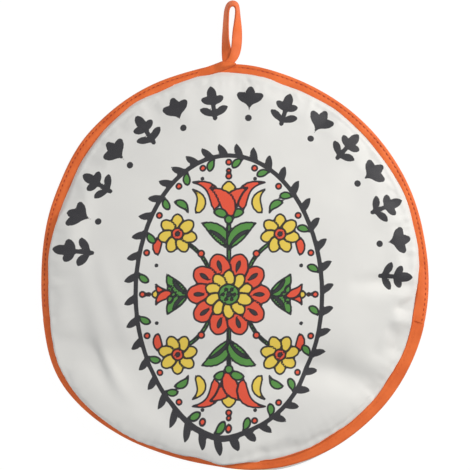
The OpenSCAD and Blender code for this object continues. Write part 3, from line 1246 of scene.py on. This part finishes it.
def padding(name, low, high):
    """A closed slab between two heights that follow angle, distance from the rim and place."""
    piece, shares = flat_grid(name, PADDING_CELLS, PADDING_CELLS)
    apply_modifier(piece, "SOLIDIFY", thickness=1, offset=1)
    at = places_of(piece)
    angle, inset, flat = disc_layout(at[:, :2] + 0.5, PADDING_INSET)
    upper = at[:, 2] > at[:, 2].mean()
    z = np.where(upper, high(angle, inset, flat), low(angle, inset, flat))
    set_places(piece, placed(flat, z))
    keep_flat_map(piece, flat * MM)
    apply_modifier(piece, "SUBSURF", levels=1, render_levels=1)
    smooth(piece)
    piece.data.materials.append(batting_fill)
    return piece


def back_padding_low(a, inset, flat):
    rim_z = LEG_T + COVER_T
    return rim_z - (rim_z - BACK_LOW_Z) * ease(inset, PADDING_INSET, PADDING_FLAT)


def back_padding_high(a, inset, flat):
    rim_z = LEG_T + COVER_T + ROOM
    return rim_z + (PANEL_T - LINING_T - ROOM - rim_z) * ease(inset, PADDING_INSET, PADDING_FLAT)


def front_padding_low(a, inset, flat):
    under, _ = panel_heights(a, inset)
    return under + LINING_T + ROOM


def front_padding_high(a, inset, flat):
    dips = np.minimum(fold_height(flat, PUCKERS), 0)
    under, pad = panel_heights(a, inset)
    return under + LINING_T + ROOM + np.maximum(pad - 2 * ROOM + dips, 0.1)


back_padding = padding("back_batting_slab", back_padding_low, back_padding_high)
front_padding = padding("front_batting_slab", front_padding_low, front_padding_high)
print("two slabs of", len(front_padding.data.polygons), "faces each")

# %% [markdown]
# ## Tape folded over the rims
# Bias tape is a flat strip that is folded round the raw edge and sewn through. Each of the three
# tapes starts as a long grid: one way runs along the rim, the other across the tape, from the
# back leg's edge round the nose to the front leg's edge. The needle row presses a groove with a
# dimple at each stitch, the tape swells a little beside it, and its edge wavers as hand-fed tape
# does. The front mouth tape runs on inside the closed tape, and the back one meets its cut ends.
# An attribute of painted shade darkens the groove, its dimples and the edges.

# %% Tape folded over the rims
TAPE_T = 0.75
STITCH_PITCH = 4.0
SEAM_ROW_INSET = 2.8
MOUTH_ROW_INSET = 6.4
CLOSED_FROM, CLOSED_TO = -16.5, 194.5
OPEN_FROM, OPEN_TO = 185, 355
BUTT = 0.03
STATION = 1.2
BACK_ROWS, NOSE_ROWS, FRONT_ROWS = 6, 8, 14
GROOVE_DEPTH, SWELL_H, RIPPLE_H = 0.34, 0.22, 0.12
EDGE_WAVER, EDGE_DIP = 0.3, 0.25


def length_along(angles):
    """The length along the rim at each of the rising angles, in millimetres."""
    return run_along(on_rim(angles, 0))


def even_angles(start, end, spacing):
    """Angles that are evenly spaced along the rim."""
    fine = np.linspace(start, end, 2000)
    length = length_along(fine)
    count = int(length[-1] / spacing)
    return np.interp(np.linspace(0, length[-1], count), length, fine), count


def folded_tape(
    name, start, end, low, high, inner, nose, row_inset, over_cloth=True, nose_shade=0.25, drawn=1
):
    """Tape round the rim; low, high, inner and nose are functions of the angle.

    over_cloth keeps the front leg above the cover, nose_shade says how much painted shade darkens
    the folded edge, and drawn how tightly the stitches pull the tape in.
    """
    a, stations = even_angles(start, end, STATION)
    rows = BACK_ROWS + NOSE_ROWS + FRONT_ROWS
    piece, shares = flat_grid(name, stations - 1, rows - 1)
    station = np.round(shares[:, 0] * (stations - 1)).astype(int)
    row = np.round(shares[:, 1] * (rows - 1)).astype(int)
    angle, run = a[station], length_along(a)[station]
    low, high, inner, nose = (f(angle) for f in (low, high, inner, nose))
    half = (high - low) / 2
    leg = inner - nose - half
    on_back, on_front = row < BACK_ROWS, row >= BACK_ROWS + NOSE_ROWS
    back_share = row / BACK_ROWS
    arc = (row - BACK_ROWS) / (NOSE_ROWS - 1) * math.pi
    front_share = (row - BACK_ROWS - NOSE_ROWS + 1) / FRONT_ROWS
    inset = np.where(on_back, inner - back_share * leg, nose + half - half * np.sin(arc))
    inset = np.where(on_front, nose + half + front_share * leg, inset)
    z = np.where(on_back, low, (low + high) / 2 - half * np.cos(arc))
    z = np.where(on_front, high, z)
    dimple = 0.6 + 0.4 * np.cos(2 * math.pi * run / STITCH_PITCH)
    groove = drawn * bump(inset, row_inset, 0.8) * on_front
    waver = EDGE_WAVER * np.sin(run / 7.1) * np.sin(run / 23 + 1) * on_front * front_share
    swell = SWELL_H * bump(inset, (row_inset + inner) / 2, 2.4) * (1 - groove)
    z = z + (-GROOVE_DEPTH * groove * dimple + swell) * on_front
    z = z + RIPPLE_H * np.sin(run / 3.1) * np.sin(run / 11) * on_front
    z = z - EDGE_DIP * ease(front_share, 0.88, 1) * on_front
    if over_cloth:
        above = cover_z(angle, inset + waver) + CLOTH_T / 2 + TAPE_T + 0.1
        z = np.where(on_front & (inset > inner - 2.4), np.maximum(z, above), z)
    set_places(piece, placed(on_rim(angle, inset + waver), z))
    across = np.where(on_back, back_share * leg, leg + arc * half)
    across = np.where(on_front, leg + math.pi * half + front_share * leg, across)
    keep_flat_map(piece, np.column_stack([run, across]) * MM)
    # Painted shade: darker in the needle groove and its dimples, along the front leg's edge and on
    # the folded nose.
    painted_shade = 0.75 * groove * dimple + 0.45 * ease(front_share, 0.9, 1) * on_front
    painted_shade = painted_shade + nose_shade * bump(arc, math.pi / 2, 0.9) * ~on_back * ~on_front
    keep_value(piece, "painted_shade", np.clip(painted_shade, 0, 1))
    apply_modifier(piece, "SOLIDIFY", thickness=TAPE_T * MM, offset=-1)
    only_select(piece)
    bpy.ops.object.shade_smooth_by_angle(angle=math.radians(50))
    piece.data.materials.append(binding_tape)
    lowest, highest = round(z.min(), 2), round(z.max(), 2)
    print(name, "faces:", len(piece.data.polygons), "z from", lowest, "to", highest)
    return piece


def constant(value):
    return lambda a: np.full(np.shape(a), float(value))


def closed_top(a):
    """Top of the closed tape, whose cut ends are pushed down on the mouth tape."""
    from_end = np.minimum(np.abs(turn_between(a, CLOSED_FROM)), np.abs(turn_between(a, CLOSED_TO)))
    return SEAM_T + (BOUND_EDGE_T + 0.2) * mouth_share(a) - 0.35 * (1 - ease(from_end, 0, 1.6))


def mouth_nose(a):
    """How far in a mouth tape lies; it slips inside the closed tape past the mouth's corners."""
    from_bottom = np.abs(turn_between(a, 270))
    past = np.where(turn_between(a, 270) < 0, CLOSED_TO - 180 - 90, 90 + CLOSED_FROM)
    return 0.9 * ease(from_bottom, np.abs(past) - 0.4, np.abs(past) + 1.0)


def drawn_in(a):
    """How far in the front tape lies where the back tape peeks out below it."""
    return 2.4 * bump(turn_between(a, 283), 0, 15)


def front_nose(a):
    return mouth_nose(a) + drawn_in(a)


def front_inner(a):
    return tape_inner(a) + 0.2


def front_high(a):
    return mouth_edge_z(a) + BOUND_EDGE_T


edge_binding = folded_tape(
    "edge_binding_tape", CLOSED_FROM, CLOSED_TO,
    constant(0), closed_top, tape_inner, constant(0), SEAM_ROW_INSET,
)
front_mouth_binding = folded_tape(
    "front_mouth_tape", OPEN_FROM, OPEN_TO,
    mouth_edge_z, front_high, front_inner, front_nose, MOUTH_ROW_INSET, drawn=0.35,
)
# The back tape's folded nose gets strong painted shade, for the shadow of the front panel over it.
back_mouth_binding = folded_tape(
    "back_mouth_tape", CLOSED_TO + BUTT, 360 + CLOSED_FROM - BUTT,
    constant(0), constant(BOUND_EDGE_T), constant(TAPE_W), constant(0), MOUTH_ROW_INSET,
    over_cloth=False, nose_shade=0.9,
)

# %% [markdown]
# ## Stitches
# One stitch is a short length of thread that rises from its needle hole, lies on the tape and
# dives again. It is made once from a sphere and copied along each row, because a machine makes
# all stitches alike. Each copy has its own mesh, and the copies of a row are then joined.

# %% Stitches
STITCH_L, STITCH_W, STITCH_H = 2.7, 0.8, 0.6
STITCH_ARCH, STITCH_SINK = 0.34, 0.12
SEAM_ROW, MOUTH_ROW = (-15.5, 191), (195, 345)
UNDER_FOOT = (89.2, 99)


def one_stitch(thread):
    """A stitch that lies along X, with its arch and its flat map."""
    bpy.ops.object.select_all(action="DESELECT")
    bpy.ops.mesh.primitive_uv_sphere_add(
        segments=8, ring_count=7, radius=0.5, rotation=(0, math.pi / 2, 0)
    )
    stitch = bpy.context.object
    bpy.ops.object.transform_apply(location=False, rotation=True, scale=False)
    drop_maps(stitch)
    p = places_of(stitch)
    turn = np.arctan2(p[:, 2], p[:, 1])
    keep_flat_map(stitch, np.column_stack([p[:, 0] * STITCH_L, turn * STITCH_W / 2]) * MM)
    shaped = p * (STITCH_L, STITCH_W, STITCH_H)
    shaped[:, 2] -= STITCH_ARCH * (2 * p[:, 0]) ** 2
    set_places(stitch, shaped * MM)
    stitch.data.materials.append(thread)
    smooth(stitch)
    return stitch


def stitch_row(name, start, end, inset, top, thread, skipped=(0, 0)):
    """A row of stitches from one angle to another, without those between the skipped two."""
    angles, count = even_angles(start, end, STITCH_PITCH)
    sample = one_stitch(thread)
    copies = []
    for a in angles:
        if skipped[0] < a < skipped[1]:
            continue
        before, after = on_rim(np.array([a - 0.5, a + 0.5]), inset(a))
        heading = math.atan2(after[1] - before[1], after[0] - before[0])
        copy = bpy.data.objects.new(name, sample.data.copy())
        bpy.context.collection.objects.link(copy)
        x, y = on_rim(a, inset(a))
        place = Matrix.Translation((x * MM, y * MM, top(a) * MM))
        copy.matrix_world = place @ Matrix.Rotation(heading, 4, "Z")
        copies.append(copy)
    bpy.data.objects.remove(sample)
    bpy.ops.object.select_all(action="DESELECT")
    for copy in copies:
        copy.select_set(True)
    bpy.context.view_layer.objects.active = copies[0]
    bpy.ops.object.join()
    row = bpy.context.object
    row.name = row.data.name = name
    bpy.ops.object.transform_apply(location=True, rotation=True, scale=True)
    print(name, "has", len(copies), "stitches")
    return row


edge_stitching = stitch_row(
    "edge_stitch_row", *SEAM_ROW, constant(SEAM_ROW_INSET),
    lambda a: float(closed_top(a)) - STITCH_SINK, shaded_sewing_thread, skipped=UNDER_FOOT,
)
front_stitching = stitch_row(
    "front_mouth_stitch_row", *MOUTH_ROW, constant(MOUTH_ROW_INSET),
    lambda a: float(front_high(a)) - STITCH_SINK, matched_thread,
)
back_stitching = stitch_row(
    "back_mouth_stitch_row", *MOUTH_ROW, constant(MOUTH_ROW_INSET),
    lambda a: BOUND_EDGE_T - STITCH_SINK, matched_thread,
)

# %% [markdown]
# ## Hanging loop and its foot
# The loop is the end of the same tape, doubled and sewn, bent round to a narrow eye. Seen from
# above its width changes along the way, because the strip stands almost on edge round the eye
# and lies flatter lower down. Its centre line and the width that shows are read off the
# photograph; the tilt of the strip at each place follows from them. The foot is the tape's
# other end, turned over on the rim.

# %% Hanging loop and its foot
LOOP_PIXELS = [
    (228.0, 66, 9.5), (227.0, 60, 9.8), (226.6, 54, 9.6), (226.4, 49, 9.2), (226.0, 45, 8.0),
    (225.5, 38, 6.4), (225.7, 31, 5.6), (225.8, 25, 4.9), (226.2, 18, 4.6), (226.5, 12.6, 4.2),
    (227.4, 7.5, 3.8), (229.2, 4.4, 4.6), (231.8, 3.1, 5.2), (234.8, 3.4, 5.4), (236.7, 5.4, 4.2),
    (237.5, 9, 3.2), (237.6, 13, 3.9), (237.6, 18, 5.2), (237.5, 24, 7.2), (237.3, 30, 9.0),
    (237.0, 37, 10.1), (236.8, 42, 10.2), (236.0, 49, 10.2), (234.9, 54, 9.6), (233.2, 58, 8.6),
    (230.6, 61.5, 7.6), (227.0, 64.6, 7.0),
]
STRIP_W = 8.6
STRIP_T = 1.5
LOOP_STEPS = 170
LEFT_ROOT_Z, RIGHT_ROOT_Z, LOOP_FREE_Z = 5.1, 6.3, 1.0


def finished_tape(piece, thickness):
    """Gives a flat piece of tape its thickness, its rounded edges and its finish."""
    apply_modifier(piece, "SOLIDIFY", thickness=thickness * MM, offset=0)
    apply_modifier(piece, "SUBSURF", levels=1, render_levels=1)
    smooth(piece)
    piece.data.materials.append(binding_tape)
    return piece


def loop_strip():
    """The bent strip: its run, its middle line, the way across it and how flat it lies."""
    middle = np.array([from_pixel(x, y) for x, y, _ in LOOP_PIXELS])
    shown = np.array([w for *_, w in LOOP_PIXELS]) * MM_PER_PIXEL
    knots = run_along(middle)
    run = np.linspace(0, knots[-1], LOOP_STEPS + 1)
    line = np.column_stack([np.interp(run, knots, middle[:, k]) for k in (0, 1)])
    width = np.interp(run, knots, shown)
    for _ in range(12):
        line[1:-1] = (line[:-2] + 2 * line[1:-1] + line[2:]) / 4
        width[1:-1] = (width[:-2] + 2 * width[1:-1] + width[2:]) / 4
    heading = np.gradient(line, axis=0)
    heading /= np.linalg.norm(heading, axis=1)[:, None]
    inward = np.column_stack([heading[:, 1], -heading[:, 0]])
    return run, line, inward, np.clip(width / STRIP_W, 0.25, 0.99)


def make_loop():
    run, line, inward, cosine = loop_strip()
    piece, shares = flat_grid("hanging_loop_tape", LOOP_STEPS, 10)
    station = np.round(shares[:, 0] * LOOP_STEPS).astype(int)
    across = shares[:, 1]
    root_y = on_rim(np.array([93.0]), 0)[0, 1]
    y = line[station][:, 1]
    rise = np.sqrt(1 - cosine[station] ** 2) * STRIP_W * ease(y, root_y, root_y + 14)
    right = ease(run[station] / run[-1], 0.45, 0.6)
    root_z = LEFT_ROOT_Z + (RIGHT_ROOT_Z - LEFT_ROOT_Z) * right
    free_z = LOOP_FREE_Z + 1.6 * right * (1 - ease(y, root_y + 14, root_y + 26))
    lower_z = root_z + (free_z - root_z) * ease(y, root_y - 2, root_y + 14)
    z = lower_z + across * rise + 0.4 * np.sin(np.pi * across)
    seen = line[station] + inward[station] * ((across - 0.5) * STRIP_W * cosine[station])[:, None]
    set_places(piece, placed(below_view(seen, z), z))
    keep_flat_map(piece, np.column_stack([run[station], across * STRIP_W]) * MM)
    # Painted shade darkens both edges of the strip and a crease line near one edge.
    painted_shade = 0.5 * (bump(across, 0, 0.09) + bump(across, 1, 0.09))
    painted_shade = painted_shade + 0.25 * bump(across, 0.82, 0.04)
    keep_value(piece, "painted_shade", np.clip(painted_shade, 0, 1))
    return finished_tape(piece, STRIP_T)


FOOT_UPPER = [
    (196, 70.6), (204, 67.8), (212, 65.1), (218, 62.8), (222, 61.2), (229, 61.2), (236.3, 63.6),
]
FOOT_LOWER = [
    (196, 78.6), (204, 76.6), (212, 74.4), (219, 72.2), (225, 70.2), (231, 67.6), (236.2, 64.6),
]
FOOT_STEPS, FOOT_ROWS = 44, 12
FOOT_T = 0.8
FOOT_CUT = (31, 8)


def edge_line(pixels, shares):
    """Places at shares from 0 to 1 along a line of pixels."""
    points = np.array([from_pixel(*p) for p in pixels])
    knots = run_along(points)
    return np.column_stack([np.interp(shares * knots[-1], knots, points[:, k]) for k in (0, 1)])


def make_foot():
    piece, shares = flat_grid("loop_foot_tape", FOOT_STEPS, FOOT_ROWS)
    along, across = shares.T
    lower, upper = edge_line(FOOT_LOWER, along), edge_line(FOOT_UPPER, along)
    place = lower + (upper - lower) * across[:, None]
    pillow = 0.7 * np.sin(np.pi * across) ** 0.6
    pillow = pillow * np.sin(np.pi * np.clip(along, 0.02, 0.98)) ** 0.3
    over_loop = 2.9 * ease(along, 0.42, 0.7) * ease(across, 0.0, 0.5)
    z = SEAM_T - 0.7 + 0.9 * ease(along, 0, 0.4) + pillow + over_loop
    set_places(piece, placed(below_view(place, z), z))
    keep_flat_map(piece, np.column_stack([along, across]) * FOOT_CUT * MM)
    # Painted shade darkens the foot most along its lower edge, for the shadow of the crease there,
    # and also its upper edge and its end.
    painted_shade = 0.9 * bump(across, 0, 0.12) + 0.5 * bump(across, 1, 0.12)
    painted_shade = painted_shade + 0.4 * bump(along, 1, 0.05)
    keep_value(piece, "painted_shade", np.clip(painted_shade, 0, 1))
    face_up(piece, 1)
    return finished_tape(piece, FOOT_T)


hanging_loop = make_loop()
loop_foot = make_foot()
loop_faces, foot_faces = len(hanging_loop.data.polygons), len(loop_foot.data.polygons)
print("loop and foot:", loop_faces, "and", foot_faces, "faces")

# %% [markdown]
# ## Bodies and soft pieces
# The back panel, the closed rim and the foot are attached to the pouch's body. The front panel's
# pieces and the loop are attached to no body; their places stay baked into their meshes. Each
# piece takes the place of the plain solid in the imported model, which is hidden.

for piece, nodes in (
    (back_cover, ["back_cover"]),
    (back_padding, ["back_batting"]),
    (back_lining, ["back_lining"]),
    (back_mouth_binding, ["back_mouth_binding"]),
    (back_stitching, ["back_mouth_stitching"]),
    (edge_binding, ["edge_binding"]),
    (edge_stitching, ["edge_stitching"]),
    (loop_foot, ["loop_foot"]),
):
    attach(piece, "pouch")
    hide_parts(*nodes)

for piece, nodes in (
    (front_cover, ["front_cover_upper", "front_cover_flap"]),
    (front_padding, ["front_batting_upper", "front_batting_flap"]),
    (front_lining, ["front_lining_upper", "front_lining_flap"]),
    (front_mouth_binding, ["front_mouth_binding"]),
    (front_stitching, ["front_mouth_stitching"]),
):
    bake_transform(piece)
    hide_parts(*nodes)

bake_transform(hanging_loop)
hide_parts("hanging_loop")
